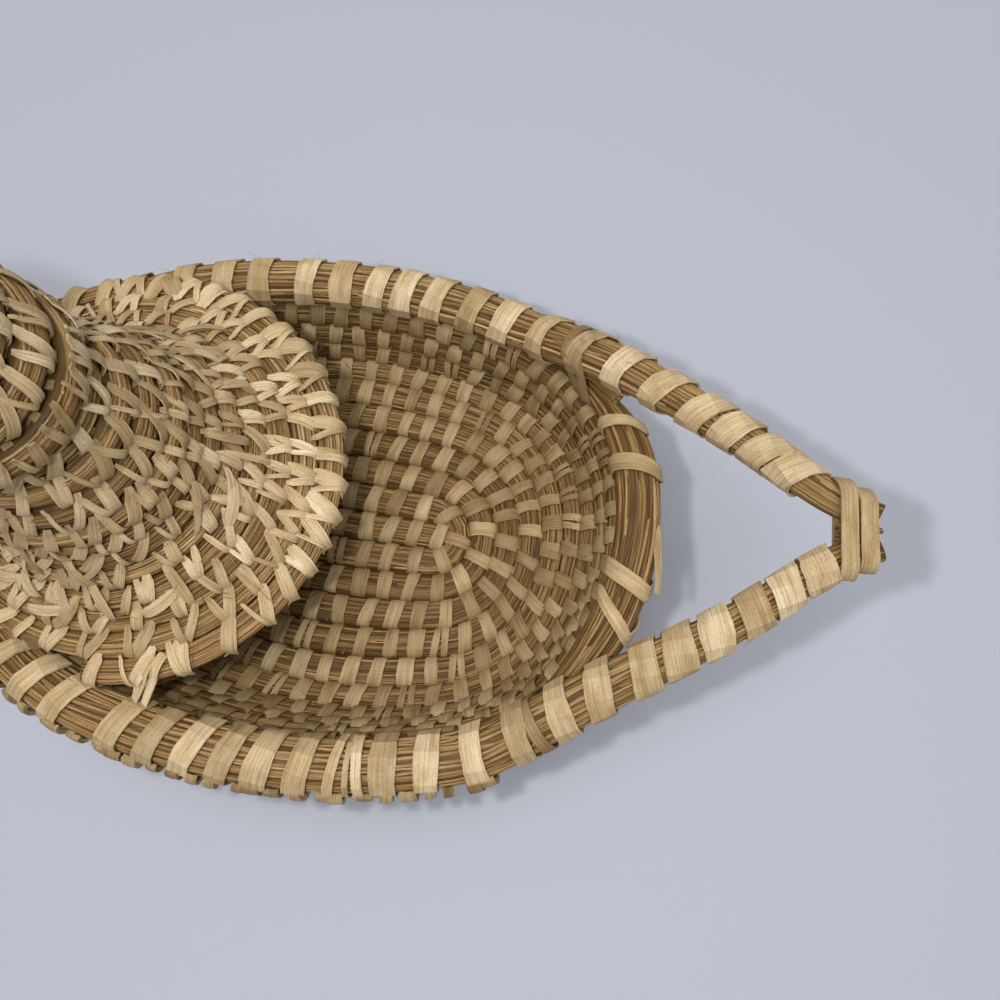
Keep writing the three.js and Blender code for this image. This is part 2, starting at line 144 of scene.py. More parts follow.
def place_light():
    """A wide soft light overhead, a weak lamp just left of the camera, and a bright plain room."""
    scene = bpy.context.scene
    scene.view_settings.view_transform = "Standard"
    ceiling = bpy.data.objects.new("ceiling", bpy.data.lights.new("ceiling", "SUN"))
    ceiling.data.energy = CEILING_STRENGTH
    ceiling.data.angle = math.radians(CEILING_SPREAD)
    scene.collection.objects.link(ceiling)
    lamp = bpy.data.objects.new("lamp", bpy.data.lights.new("lamp", "POINT"))
    lamp.data.energy = 1
    lamp.data.shadow_soft_size = LAMP_SIZE
    lamp.location = LAMP_PLACE
    lamp.data.use_nodes = True
    # It lights near and far parts alike.
    tree = lamp.data.node_tree
    even = add_node(tree, "ShaderNodeLightFalloff", inputs={"Strength": LAMP_STRENGTH})
    tree.links.new(even.outputs["Constant"], tree.nodes["Emission"].inputs["Strength"])
    scene.collection.objects.link(lamp)
    world = bpy.data.worlds.new("soft_room")
    world.use_nodes = True
    tree = world.node_tree
    tree.nodes.clear()
    room, backdrop = (
        add_node(
            tree, "ShaderNodeBackground", inputs={"Color": linear(colour), "Strength": strength},
        ).outputs["Background"]
        for colour, strength in (("#EDECEE", ROOM_STRENGTH), ("#AEB1BB", 1.0))
    )
    # The camera, and a gloss or a glass, see the backdrop as pale as the table.
    rays = add_node(tree, "ShaderNodeLightPath")
    seen = rays.outputs["Is Camera Ray"]
    for ray in ("Is Glossy Ray", "Is Transmission Ray"):
        seen = add_node(
            tree, "ShaderNodeMath", {"operation": "MAXIMUM"}, {0: seen, 1: rays.outputs[ray]},
        ).outputs["Value"]
    mixed = add_node(tree, "ShaderNodeMixShader", inputs={0: seen, 1: room, 2: backdrop})
    add_node(tree, "ShaderNodeOutputWorld", inputs={"Surface": mixed.outputs["Shader"]})
    scene.world = world


# ---------------------------------------------------------------- materials

# Stretch of each grain along, across and out of the stalk, in turns per mm, and its detail: fibres
# a third of a millimetre apart, blotches some millimetres long, and small dark specks.
GRAINS = (((0.06, 3.0, 1.0), 4.0), ((0.09, 0.22, 1.0), 2.0), ((1.6, 3.4, 1.0), 1.0))
BLOTCH_STOPS = ((0.3, "#D6C8B2"), (0.62, "#FFFFFF"))
SPECK_STOPS = ((0.26, "#7A6548"), (0.34, "#FFFFFF"))
FIBRE_DEPTH = 0.00012


def stalk_material(name, stops, streak_stops, rough):
    """Plant stalk: long fine fibres on the piece's own UV map, which is in millimetres."""
    material, tree, shader = new_material(name)
    own = add_node(tree, "ShaderNodeUVMap", {"uv_map": "UVMap"}).outputs["UV"]
    grain = []
    for scale, detail in GRAINS:
        place = add_node(tree, "ShaderNodeMapping", inputs={"Vector": own, "Scale": scale})
        grain.append(add_node(
            tree, "ShaderNodeTexNoise", {"noise_dimensions": "2D"},
            {"Vector": place.outputs["Vector"], "Scale": 1.0, "Detail": detail, "Roughness": 0.6},
        ).outputs["Fac"])
    fibres, blotches, specks = grain
    tone = add_node(tree, "ShaderNodeAttribute", {"attribute_name": "tone"}).outputs["Fac"]
    base = add_node(tree, "ShaderNodeValToRGB", inputs={"Fac": tone}, stops=stops)
    colour = base.outputs["Color"]
    for factor, share, layer in (
        (fibres, 1.0, streak_stops), (blotches, 0.7, BLOTCH_STOPS), (specks, 0.5, SPECK_STOPS),
    ):
        ramp = add_node(tree, "ShaderNodeValToRGB", inputs={"Fac": factor}, stops=layer)
        colour = add_node(
            tree, "ShaderNodeMix", {"data_type": "RGBA", "blend_type": "MULTIPLY"},
            {0: share, 6: colour, 7: ramp.outputs["Color"]},
        ).outputs[2]
    tree.links.new(colour, shader.inputs["Base Color"])
    bump = add_node(
        tree, "ShaderNodeBump", inputs={"Height": fibres, "Strength": 0.5, "Distance": FIBRE_DEPTH},
    )
    tree.links.new(bump.outputs["Normal"], shader.inputs["Normal"])
    shader.inputs["Roughness"].default_value = rough
    shader.inputs["Specular IOR Level"].default_value = 0.2
    return material


# ---------------------------------------------------------------- routes of the bundles

ROW_RADIUS, ROW_PITCH = 3.5, 7.9
BOWL_CENTRE_X, START_HALF_LENGTH = -8.5, 25.0
SIDE_BOW, SIDE_BOW_LENGTH = 0.25, 40.0
SIDE_SHARE, END_SHARE = 1 / 6, 1 / 3
BASE_TURNS, BOWL_TURNS = 5.4, 9.87
ROW_HEIGHT = ROW_RADIUS * math.cos(math.pi / 6) - 0.5
# A winding's centre line has this many steps to a turn.
STEPS_PER_TURN = 90
# Flat run, bend and lean of the wall at the sides, at the tail and at the front.
SIDE_WALL, TAIL_WALL, FRONT_WALL = (40, 14, 1.36), (10, 42, 1.38), (48, 14, 1.2)
SPLINT = 0.45
SEWN_GAP = 0.45


def plan_at(turn, length):
    bow = SIDE_BOW * np.minimum(1, length / SIDE_BOW_LENGTH) + 1e-4
    arc = START_HALF_LENGTH / np.sin(bow)
    place = (turn + END_SHARE / 2) % 1
    half = (place >= 0.5).astype(float)
    along = place - half / 2
    at_end = along < END_SHARE
    angle = np.where(
        at_end,
        mix(bow - math.pi / 2, math.pi / 2 - bow, along / END_SHARE),
        mix(math.pi / 2 - bow, math.pi / 2 + bow, (along - END_SHARE) / SIDE_SHARE),
    )
    core_x = np.where(at_end, START_HALF_LENGTH, arc * np.cos(angle))
    core_y = np.where(at_end, 0.0, arc * (np.sin(angle) - np.cos(bow)))
    sign = 1 - 2 * half
    return sign * core_x, sign * core_y, angle + half * math.pi


def bowl_at(turn, length):
    """A point of the bowl's winding, and the direction that faces into the bowl."""
    core_x, core_y, angle = plan_at(turn, length)
    facing = np.cos(angle)
    share = np.abs(facing) ** 3
    flat, bend, lean = (
        mix(side, np.where(facing > 0, tail, front), share)
        for side, tail, front in zip(SIDE_WALL, TAIL_WALL, FRONT_WALL)
    )
    slope = np.minimum(lean, np.maximum(0, (length - flat) / bend))
    rest = np.maximum(0, length - flat - bend * lean)
    run = np.minimum(length, flat) + bend * np.sin(slope) + rest * np.cos(lean)
    rise = bend * (1 - np.cos(slope)) + rest * np.sin(lean)
    out = np.stack([np.cos(angle), np.sin(angle)], -1)
    point = np.stack([
        BOWL_CENTRE_X + core_x + run * out[..., 0], core_y + run * out[..., 1], ROW_HEIGHT + rise,
    ], -1)
    inward = -np.sin(slope)
    normal = np.stack([inward * out[..., 0], inward * out[..., 1], np.cos(slope)], -1)
    return point, normal


class Route:
    """A bundle's centre line, with the side that shows and the length along it."""

    def __init__(self, points, normals):
        steps = np.linalg.norm(np.diff(points, axis=0), axis=1)
        self.length = np.concatenate([[0], np.cumsum(steps)])
        self.end = self.length[-1]
        tangent = unit(np.gradient(points, axis=0))
        normal = unit(normals - tangent * np.sum(normals * tangent, axis=1, keepdims=True))
        across = np.cross(tangent, normal)
        self.columns = np.hstack([points - BASKET_MIDDLE, normal, across]).T

    def spot(self, along):
        return [np.interp(along, self.length, column) for column in self.columns]

    def middle(self, along):
        return np.array([float(value) for value in self.spot(along)[:3]])

    def surface(self, along, angle, radius):
        """Points round the bundle: angle 0 faces the side that shows."""
        spot = self.spot(along)
        up, side = radius * np.cos(angle), radius * np.sin(angle)
        return np.stack([spot[i] + up * spot[3 + i] + side * spot[6 + i] for i in range(3)], -1)


def bowl_route(first, last):
    turn = np.linspace(first, last, int((last - first) * STEPS_PER_TURN))
    points, normals = bowl_at(turn, ROW_PITCH * turn)
    if first < 1:
        # The winding starts with a straight end that fills its first bend.
        back = unit(points[0] - points[1]) * np.arange(4, 0, -1)[:, None]
        points = np.vstack([points[0] + back, points])
        normals = np.vstack([np.repeat(normals[:1], 4, 0), normals])
    return Route(points, normals)


FAR_RADIUS, NEAR_RADIUS, TIP_RADIUS = 5.2, 5.6, 3.0
STRAND_TAPER, STRAND_LEAVES = 0.18, 0.15
BOWL_TAIL_X = BOWL_CENTRE_X + START_HALF_LENGTH
# Along, half apart and up, from the bowl's tail end to the tip.
TAIL = [(45.5, 40, 51.5), (73.5, 21.8, 60.5), (92.5, 7, 67), (101, 3.25, 69.5)]


def binding_inner(radius):
    return (radius + SEWN_GAP) / math.cos(math.pi / 8)


def binding_outer(radius):
    return binding_inner(radius) + SPLINT


def strand_radius(share):
    side = mix(FAR_RADIUS, NEAR_RADIUS, smooth((share - 0.25) / 0.5))
    return mix(TIP_RADIUS, side, smooth(np.minimum(share, 1 - share) / STRAND_TAPER))


def through(points, steps=40):
    """A smooth curve through points, with knots spaced by the root of their distance."""
    points = np.vstack([2 * points[0] - points[1], points, 2 * points[-1] - points[-2]])
    curve = []
    for a, b, c, d in zip(points, points[1:], points[2:], points[3:]):
        gaps = [math.sqrt(np.linalg.norm(q - p)) for p, q in ((a, b), (b, c), (c, d))]
        knots = np.cumsum([0] + gaps)
        t = np.linspace(knots[1], knots[2], steps, endpoint=False)[:, None]

        def between(first, last, low, high):
            before, after = knots[high] - t, t - knots[low]
            return (first * before + last * after) / (knots[high] - knots[low])

        ab, bc, cd = between(a, b, 0, 1), between(b, c, 1, 2), between(c, d, 2, 3)
        abc, bcd = between(ab, bc, 0, 2), between(bc, cd, 1, 3)
        curve.append(between(abc, bcd, 1, 2))
    return np.vstack(curve + [points[-2:-1]])


def strand_route():
    tail = [np.array([BOWL_TAIL_X + x, y, z]) for x, y, z in TAIL]
    share = np.linspace(0, 1, 21)
    turn = math.floor(BOWL_TURNS) + mix(STRAND_LEAVES, 1 - STRAND_LEAVES, share)
    seat = ROW_RADIUS + binding_outer(mix(FAR_RADIUS, NEAR_RADIUS, smooth(share))) + SEWN_GAP
    rim, _ = bowl_at(turn, ROW_PITCH * turn + seat)
    near = [point * (1, -1, 1) for point in tail]
    curve = through(np.vstack([tail[::-1], rim, near]))
    return Route(curve, np.tile([0.0, 0.0, 1.0], (len(curve), 1)))


BACK_RIM_RADIUS, BACK_RIM_END_SHARE, BACK_RIM_TAPER = 5.0, 0.45, 0.3
BACK_RIM_START, BACK_RIM_TURNS = BOWL_TURNS + 0.008, 0.225


def back_rim_radius(share):
    taper = smooth(np.minimum(share, 1 - share) / BACK_RIM_TAPER)
    return BACK_RIM_RADIUS * mix(BACK_RIM_END_SHARE, 1, taper)


def back_rim_route():
    share = np.linspace(0, 1, 60)
    turn = BACK_RIM_START + BACK_RIM_TURNS * share
    seat = ROW_RADIUS + binding_outer(back_rim_radius(share)) + SEWN_GAP
    return Route(*bowl_at(turn, ROW_PITCH * (turn - 1) + seat))


COVER = np.array([-53.0, 0.0, 47.0])
COVER_TILT, COVER_RADIUS, COVER_PITCH, COVER_ROW_RADIUS = 0.03, 48.2, 6.3, 2.75
COVER_EDGE_SLOPE, COVER_EDGE_FLAT, COVER_SWEEP = 0.2, 2.0, 31.0
COVER_TURNS, NECK_TOP_TURN, NECK_TAPER = 5.5, 10.3, 0.42
LEVEL_START, LEVEL_SHARE = -0.25, 0.6
HEAD_RADIUS, HEAD_FORWARD, HEAD_FORWARD_TURNS = 17.0, 5.0, 1.5
HEAD_PITCH, HEAD_TURNS = 7.2, 4.1


def rows_at(turn):
    """Rows keep level round the back and climb from one to the next round the front."""
    place = turn - LEVEL_START
    level = np.floor(place)
    return level + smooth((place - level - LEVEL_SHARE) / (1 - LEVEL_SHARE))


def cover_profile(length):
    flat = np.minimum(length, COVER_EDGE_FLAT)
    full_sweep = (math.pi / 2 - COVER_EDGE_SLOPE) * COVER_SWEEP
    curved = np.clip(length - COVER_EDGE_FLAT, 0, full_sweep)
    straight = np.maximum(0, length - COVER_EDGE_FLAT - full_sweep)
    slope = COVER_EDGE_SLOPE + curved / COVER_SWEEP
    inward = (flat * math.cos(COVER_EDGE_SLOPE) + NECK_TAPER * straight
              + COVER_SWEEP * (np.sin(slope) - math.sin(COVER_EDGE_SLOPE)))
    rise = (flat * math.sin(COVER_EDGE_SLOPE) + straight
            + COVER_SWEEP * (math.cos(COVER_EDGE_SLOPE) - np.cos(slope)))
    return COVER_RADIUS - inward, rise, slope


def cover_shell(turn, length):
    """A point of the sewn surface of cover and neck, length millimetres in from the edge row."""
    radius, rise, slope = cover_profile(length)
    angle = 2 * math.pi * turn
    x, y = np.cos(angle), np.sin(angle)
    point = np.stack(np.broadcast_arrays(radius * x, radius * y, rise), -1)
    normal = np.stack(np.broadcast_arrays(np.sin(slope) * x, np.sin(slope) * y, np.cos(slope)), -1)
    tilt = np.array(Matrix.Rotation(COVER_TILT, 3, "X"))
    return point @ tilt.T + COVER, normal @ tilt.T


NECK_RADIUS, NECK_RISE, _ = cover_profile(COVER_PITCH * rows_at(NECK_TOP_TURN))
HEAD_START = math.asin(NECK_RADIUS / HEAD_RADIUS)
HEAD = COVER + (-HEAD_FORWARD, -math.sin(COVER_TILT) * NECK_RISE,
                NECK_RISE + HEAD_RADIUS * math.cos(HEAD_START))


def head_shell(turn, length):
    """A point of the head's sewn surface, length millimetres up from the neck's last row."""
    polar = HEAD_START + length / HEAD_RADIUS
    angle = 2 * math.pi * (NECK_TOP_TURN + turn)
    out = np.stack(np.broadcast_arrays(
        np.sin(polar) * np.cos(angle), np.sin(polar) * np.sin(angle), -np.cos(polar),
    ), -1)
    point = HEAD + out * HEAD_RADIUS
    point[..., 0] += HEAD_FORWARD * (1 - smooth(turn / HEAD_FORWARD_TURNS))
    return point, out


# ---------------------------------------------------------------- straws and splints

class Strips:
    """Gathers many strips of one grid into one mesh. A strip is a grid bent to its places."""

    def __init__(self, along, across):
        sheet = bmesh.new()
        bmesh.ops.create_grid(sheet, x_segments=along, y_segments=across, size=0.5)
        self.strip = bpy.data.meshes.new("strip")
        sheet.to_mesh(self.strip)
        sheet.free()
        self.strip.uv_layers.new(name="UVMap")
        self.strip.attributes.new("tone", "FLOAT", "POINT")
        flat = np.empty(len(self.strip.vertices) * 3)
        self.strip.vertices.foreach_get("co", flat)
        flat = flat.reshape(-1, 3)
        self.column = np.rint((flat[:, 0] + 0.5) * along).astype(int)
        self.row = np.rint((flat[:, 1] + 0.5) * across).astype(int)
        self.corner = np.empty(len(self.strip.loops), dtype=int)
        self.strip.loops.foreach_get("vertex_index", self.corner)
        self.along, self.across = along, across
        self.built = bmesh.new()

    def add(self, places, run, side, tone):
        """places in mm for each column and row; run and side are the strip's own UV in mm."""
        spots = places[self.column, self.row].copy()
        # What lies on the table is pressed flat, and nothing goes below it.
        low = spots[:, 2] < 1
        spots[low, 2] = np.exp(spots[low, 2] - 1)
        self.strip.vertices.foreach_set("co", (spots * METRE).ravel())
        run = np.broadcast_to(run, places.shape[:2])
        side = np.broadcast_to(side, places.shape[:2])
        mapped = np.stack([run[self.column, self.row], side[self.column, self.row]], -1)
        self.strip.uv_layers["UVMap"].data.foreach_set("uv", mapped[self.corner].ravel())
        tones = np.full(len(spots), tone)
        self.strip.attributes["tone"].data.foreach_set("value", tones)
        self.built.from_mesh(self.strip)

    def close_tubes(self):
        """Welds each strip's long edges into a tube and closes its ends."""
        bmesh.ops.remove_doubles(self.built, verts=self.built.verts, dist=1e-6)
        open_edges = [edge for edge in self.built.edges if edge.is_boundary]
        bmesh.ops.holes_fill(self.built, edges=open_edges, sides=0)
        bmesh.ops.recalc_face_normals(self.built, faces=self.built.faces)

    def thicken(self, thickness):
        bmesh.ops.solidify(self.built, geom=self.built.faces[:], thickness=thickness * METRE)
        bmesh.ops.recalc_face_normals(self.built, faces=self.built.faces)


def make_piece(name, built, material, nodes=(), crease=None):
    mesh = bpy.data.meshes.new(name)
    built.to_mesh(mesh)
    built.free()
    mesh.materials.append(material)
    mesh.shade_smooth()
    if crease is not None:
        mesh.set_sharp_from_angle(angle=crease)
    piece = bpy.data.objects.new(name, mesh)
    bpy.context.scene.collection.objects.link(piece)
    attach(piece, "root")
    if nodes:
        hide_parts(*nodes)


# Straws and splints take darker tones down in the bowl than on the rim and the cover. This is
# painted shade: the bowl's inside is the same material, only less lit.
SHADED_STRAW, LIT_STRAW = (0.05, 0.66), (0.28, 0.98)
SHADED_PALM, LIT_PALM = (0.05, 0.52), (0.4, 0.98)
STRAW_STEPS, STRAW_SIDES = 32, 4
# The imported inside of a bundle ends this far below the straws' crowns. It is as dark as the
# darkest straws: painted shade in the gaps between them.
CORE_SIDES, CORE_DEPTH, CORE_SHADE_TONE, CORE_PART_LENGTH = 24, 0.55, 0.12, 110
# How long a straw's tip is, how far the next straw of its lane laps it, and the shortest straw.
STRAW_TIP, STRAW_LAP, SHORTEST_STRAW = 5, 3, 6


def pressed(angle):
    """How far a bundle reaches at an angle: rows sewn together are pressed nearly square."""
    return (np.abs(np.cos(angle)) ** 3 + np.abs(np.sin(angle)) ** 3) ** (-1 / 3)


def wander(along, reach):
    """The slow drift of a straw about its place in the bundle."""
    drift = 0
    for wave, part in ((170, 0.5), (70, 0.35), (24, 0.15)):
        drift = drift + part * np.sin(2 * math.pi * (along / wave + rng.random()))
    return reach * drift


def lay_straws(strips, route, envelope, lanes, width, reach, tones, ragged=0.0):
    """Straws side by side round a bundle, each lane a chain of straws of uneven length."""
    for lane in range(lanes):
        start = -rng.uniform(0, reach[0])
        first, last = rng.uniform(0, ragged), route.end - rng.uniform(0, ragged)
        while start < last - 4:
            span = rng.uniform(*reach)
            low, high = max(first, start), min(last, start + span)
            start += span - STRAW_LAP
            if high - low < SHORTEST_STRAW:
                continue
            share = np.linspace(0, 1, STRAW_STEPS + 1)
            along = mix(low, high, share)
            tip = smooth(np.minimum(share, 1 - share) * (high - low) / STRAW_TIP)
            half = width / 2 * rng.uniform(0.7, 1.2) * mix(0.45, 1, tip)
            angle = 2 * math.pi * (lane + rng.normal(0, 0.24)) / lanes + wander(along, 0.2 * width)
            radius = envelope(along, angle) - half - 0.3 * (1 - tip) - rng.uniform(0, 0.35) * width
            turn = 2 * math.pi * np.arange(STRAW_SIDES + 1) / STRAW_SIDES
            swing = half / np.maximum(radius, 0.6)
            angles = angle[:, None] + swing[:, None] * np.sin(turn)
            radii = radius[:, None] + half[:, None] * np.cos(turn)
            places = route.surface(np.repeat(along[:, None], STRAW_SIDES + 1, 1), angles, radii)
            run = along[:, None] + rng.uniform(0, 500)
            strips.add(places, run, turn * width / 2 + rng.uniform(0, 50), rng.uniform(*tones))


def lay_core(strips, route, envelope, touching):
    """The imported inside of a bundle, in parts that run into each other. touching is 1 where rows
    lie side by side and leave no slit between them, and 0 elsewhere."""
    count = max(1, round(route.end / CORE_PART_LENGTH))
    for part in range(count):
        first, last = route.end * part / count, route.end * (part + 1) / count + 1
        along = np.linspace(first, min(route.end, last), STRAW_STEPS + 1)[:, None]
        turn = 2 * math.pi * np.arange(CORE_SIDES + 1) / CORE_SIDES
        along, turn = np.broadcast_arrays(along, turn)
        depth = CORE_DEPTH * (1 - 1.6 * touching * np.sin(turn) ** 8)
        radii = np.maximum(0.4, envelope(along, turn) - depth)
        # Its dark tone is painted shade that shows in the gaps between straws.
        strips.add(route.surface(along, turn, radii), along, 8 * turn, CORE_SHADE_TONE)


def make_bundle(
    name, nodes, route, envelope, lanes, width, reach, tones=LIT_STRAW, ragged=0.0, touching=0.0,
):
    """A bundle's straws, lanes of them side by side and each width thick, and its packed inside.
    reach is the least and the greatest length of a straw, and tones the darkest and the palest."""
    straws = Strips(STRAW_STEPS, STRAW_SIDES)
    lay_straws(straws, route, envelope, lanes, width, reach, tones, ragged)
    straws.close_tubes()
    make_piece(name + "_straws", straws.built, straw, nodes)
    core = Strips(STRAW_STEPS, CORE_SIDES)
    lay_core(core, route, envelope, touching)
    core.close_tubes()
    make_piece(name + "_core", core.built, straw)


def lay_strip(strips, points, normals, width, tone, crown=0.1):
    """A splint along points, its flat side turned to the normals."""
    steps = np.diff(points, axis=0)
    across = unit(np.cross(np.gradient(points, axis=0), normals))
    share = np.linspace(-0.5, 0.5, strips.across + 1)
    reach = np.broadcast_to(width, (len(points),))[:, None] * share
    places = (points[:, None] + across[:, None] * reach[..., None]
              + normals[:, None] * (crown * (1 - 4 * share ** 2))[:, None])
    run = np.concatenate([[0], np.cumsum(np.linalg.norm(steps, axis=1))])
    strips.add(places, run[:, None] + rng.uniform(0, 500), reach + rng.uniform(0, 50), tone)


def lay_band(strips, route, along, angle, radius, width, tone, crown=0.12):
    """A splint on a bundle: along, angle and radius are its path."""
    points = route.surface(along, angle, radius)
    normals = unit(route.surface(along, angle, radius + 1) - points)
    lay_strip(strips, points, normals, width, tone, crown)


def lay_loop(strips, route, place, lift, envelope, width, slant, tone, begin=-1.65, uneven=0.0):
    """A splint once round a bundle, whose ends meet at the angle begin. A stiff splint bends in
    uneven flat lengths."""
    share = np.linspace(0, 1, strips.along + 1)
    share[1:-1] += rng.uniform(-uneven, uneven, strips.along - 1) / strips.along
    angle = begin + 2 * math.pi * share
    radius = envelope(place, angle) + lift
    along = place + slant * radius * np.sin(angle)
    waver = 1 + 0.07 * np.sin(2 * angle + rng.uniform(0, 6))
    waver = waver + 0.04 * np.sin(5 * angle + rng.uniform(0, 6))
    lay_band(strips, route, along, angle, radius, width * waver, tone, 0.06)


place_camera()
place_light()
place_floor()

# Dry grass stalks, golden and some reddish: smooth, faintly glossy, ribbed along their length.
straw = stalk_material(
    "dry_straw_stalks",
    [(0.0, "#4A371C"), (0.07, "#634B2A"), (0.2, "#7E623C"), (0.42, "#967A4D"), (0.6, "#AC8D5C"),
     (0.8, "#C1A474"), (0.9, "#A17C55"), (1.0, "#D8C193")],
    [(0.3, "#AE9670"), (0.58, "#FFFFFF")], 0.55,
)
# Split palm leaf, dried to a pale khaki cream: matt, with fine parallel veins.
palm = stalk_material(
    "split_palm_leaf",
    [(0.0, "#A07C54"), (0.04, "#96805A"), (0.3, "#AB9670"), (0.6, "#C3AE87"), (0.8, "#D0BB95"),
     (1.0, "#E1D0AD")],
    [(0.32, "#DCCDB4"), (0.58, "#FFFFFF")], 0.6,
)

# ---------------------------------------------------------------- bowl

# The crowns of the straws in the bowl's rows, from the row's centre line.
BOWL_CROWN = 3.8
# Stitches follow each other along a row at this pitch, and this share of them is split.
STITCH_PITCH, STITCH_WIDTH, SPLIT_SHARE = (6.9, 8.4), (3.3, 4.5), 0.12


def bowl_envelope(along, angle):
    return (BOWL_CROWN + 0.2 * np.sin(angle) ** 2) * pressed(angle) + 0 * along


def lay_stitch(strips, route, place, lift, envelope, width, slant):
    """One stitch of a row. One in eight is split and stands in two narrow limbs."""
    # The bowl's stitches take the darker tones of painted shade.
    tone = rng.uniform(*SHADED_PALM)
    if rng.random() < SPLIT_SHARE:
        for side in (-1, 1):
            lay_loop(
                strips, route, place + side * 0.3 * width, lift, envelope, 0.42 * width,
                slant + side * rng.uniform(-0.04, 0.12), tone,
            )
    else:
        lay_loop(strips, route, place, lift, envelope, width, slant, tone)


def bowl_part(name, node, first, last):
    """Straws and stitches of a part of the bowl's winding, from turn first to turn last."""
    route = bowl_route(first, last)
    # The bowl's straws take the darker tones of painted shade.
    make_bundle(
        name, (node,), route, bowl_envelope, lanes=38, width=0.92, reach=(84, 142),
        tones=SHADED_STRAW, touching=1,
    )
    bands = Strips(16, 2)
    place = rng.uniform(1, 3)
    while place < route.end - 2:
        lay_stitch(
            bands, route, place, rng.uniform(0.2, 0.4),
            lambda at, angle: bowl_envelope(at, angle) - 0.5 * np.sin(angle) ** 8,
            rng.uniform(*STITCH_WIDTH), rng.normal(-0.17, 0.1),
        )
        place += rng.uniform(*STITCH_PITCH)
    bands.thicken(0.3)
    make_piece(name + "_stitches", bands.built, palm, crease=0.9)


bowl_part("base", "base_coil", SIDE_SHARE, BASE_TURNS)
bowl_part("wall", "wall_coil", BASE_TURNS, BOWL_TURNS)

# ---------------------------------------------------------------- rim strand and tail

strand = strand_route()


def strand_envelope(along, angle):
    return strand_radius(along / strand.end) + 0.5 + 0 * angle


make_bundle(
    "rim", ("rim_and_tail_strand",), strand, strand_envelope, lanes=46, width=0.98,
    reach=(80, 140), ragged=2.5,
)

# Places of the wraps along the strand and how they slant, from the far tip round to the near one.
FAR_WRAPS = (19.1, 26.4, 35.2, 43.3, 54.5, 66.0, 77.5, 91.8, 106.0, 115.7, 126.2, 135.0, 142.6,
             152.5, 162.3, 175.0, 184.6, 195.0, 208.0)
FRONT_WRAPS = tuple(np.arange(218.0, 360.0, 9.5))
NEAR_WRAPS = (365.7, 374.7, 383.5, 391.8, 399.9, 408.8, 427.3, 436.9, 448.2, 459.9, 470.8, 480.3,
              491.3, 499.5, 508.2, 517.4, 525.3, 533.0)
# One wrap has torn into three limbs: their places from the wrap's middle, and their widths.
SPLIT_WRAP, SPLIT_LIMBS = 419.3, ((-3.1, 2.2), (0.0, 1.3), (2.2, 2.3))
# Wraps are wider near the tail's tip than round the bowl.
TIP_WRAP_WIDTH, RIM_WRAP_WIDTH = (6.0, 7.2), (4.9, 5.9)
FIRST_RIM_WRAP, LAST_RIM_WRAP = FAR_WRAPS[4], NEAR_WRAPS[11]
WRAP_SLANTS = ((0, -0.55), (50, -0.5), (68, -0.33), (130, -0.25), (150, -0.2), (210, -0.2),
               (365, -0.32), (400, -0.3), (420, -0.08), (450, -0.08), (480, -0.28), (550, -0.28))


def wrap_slant(place):
    places, slants = zip(*WRAP_SLANTS)
    return np.interp(place, places, slants)


bands = Strips(12, 3)
for place in FAR_WRAPS + FRONT_WRAPS + NEAR_WRAPS:
    width = rng.uniform(
        *(RIM_WRAP_WIDTH if FIRST_RIM_WRAP <= place <= LAST_RIM_WRAP else TIP_WRAP_WIDTH)
    )
    slant = wrap_slant(place) + rng.normal(0, 0.04)
    # One wrap on the far side is a reddish brown one.
    tone = 0.0 if place == FAR_WRAPS[-1] else rng.uniform(*LIT_PALM)
    lay_loop(
        bands, strand, place, 0.45, strand_envelope, width, slant, tone, begin=3.3, uneven=0.3,
    )
for side, width in SPLIT_LIMBS:
    lay_loop(
        bands, strand, SPLIT_WRAP + side, 0.45, strand_envelope, width,
        wrap_slant(SPLIT_WRAP) + 0.05 * side, rng.uniform(*LIT_PALM), begin=3.3, uneven=0.3,
    )
bands.thicken(0.4)
make_piece(
    "rim_wraps", bands.built, palm,
    ("rim_wrap_far", "rim_wrap_front", "rim_wrap_near", "tail_wrap_far", "tail_wrap_near"),
    crease=0.45,
)

# The splints that sew the strand to the wall's last row stand out below it.
bands = Strips(10, 2)
for place in np.arange(0.17 * strand.end, 0.83 * strand.end, 4.7):
    middle = place + rng.normal(0, 0.9)
    # The far side is sewn tighter and lower than the near one.
    slack = np.interp(middle / strand.end, (0.45, 0.6), (0, 1))
    angle = np.linspace(mix(1.85, 1.15, slack), 2.8, 11)
    bulge = np.interp(angle, (1.15, 1.45, 1.8, 2.2, 2.8), (0.0, 0.9, 1.4, 1.3, 0.2))
    bulge = bulge * rng.uniform(0.3, 1.0) * mix(0.2, 1, slack)
    lay_band(
        bands, strand, middle + rng.normal(-0.5, 0.5) * (angle - 2), angle,
        strand_envelope(middle, angle) + 0.1 + bulge, rng.uniform(1.8, 3.8),
        rng.uniform(0.02, 0.6), 0.15,
    )
bands.thicken(1.1)
make_piece("rim_sewing", bands.built, palm, crease=0.9)


def tip_binding_path(steps):
    """Two turns round both ends of the strand, side by side."""
    points, normals = [], []
    middle = BASKET_MIDDLE[1]
    for i in range(steps + 1):
        turn = 2 * i / steps
        place = turn % 1 * 2
        side = 1 if place < 1 else -1
        angle = math.pi * (place % 1) - side * math.pi / 2
        back = 1.8 + 4.2 * (2 - turn)
        spot = strand.middle(back)
        reach = strand_radius(back / strand.end) + 0.8
        slope = np.abs(unit(strand.middle(back + 1) - spot))
        out = np.array([0, math.cos(angle), math.sin(angle)])
        points.append([
            spot[0], -middle + side * (spot[1] + middle) + reach * out[1] / slope[0],
            spot[2] + reach * out[2] / slope[0],
        ])
        normals.append(out)
    return np.array(points), np.array(normals)


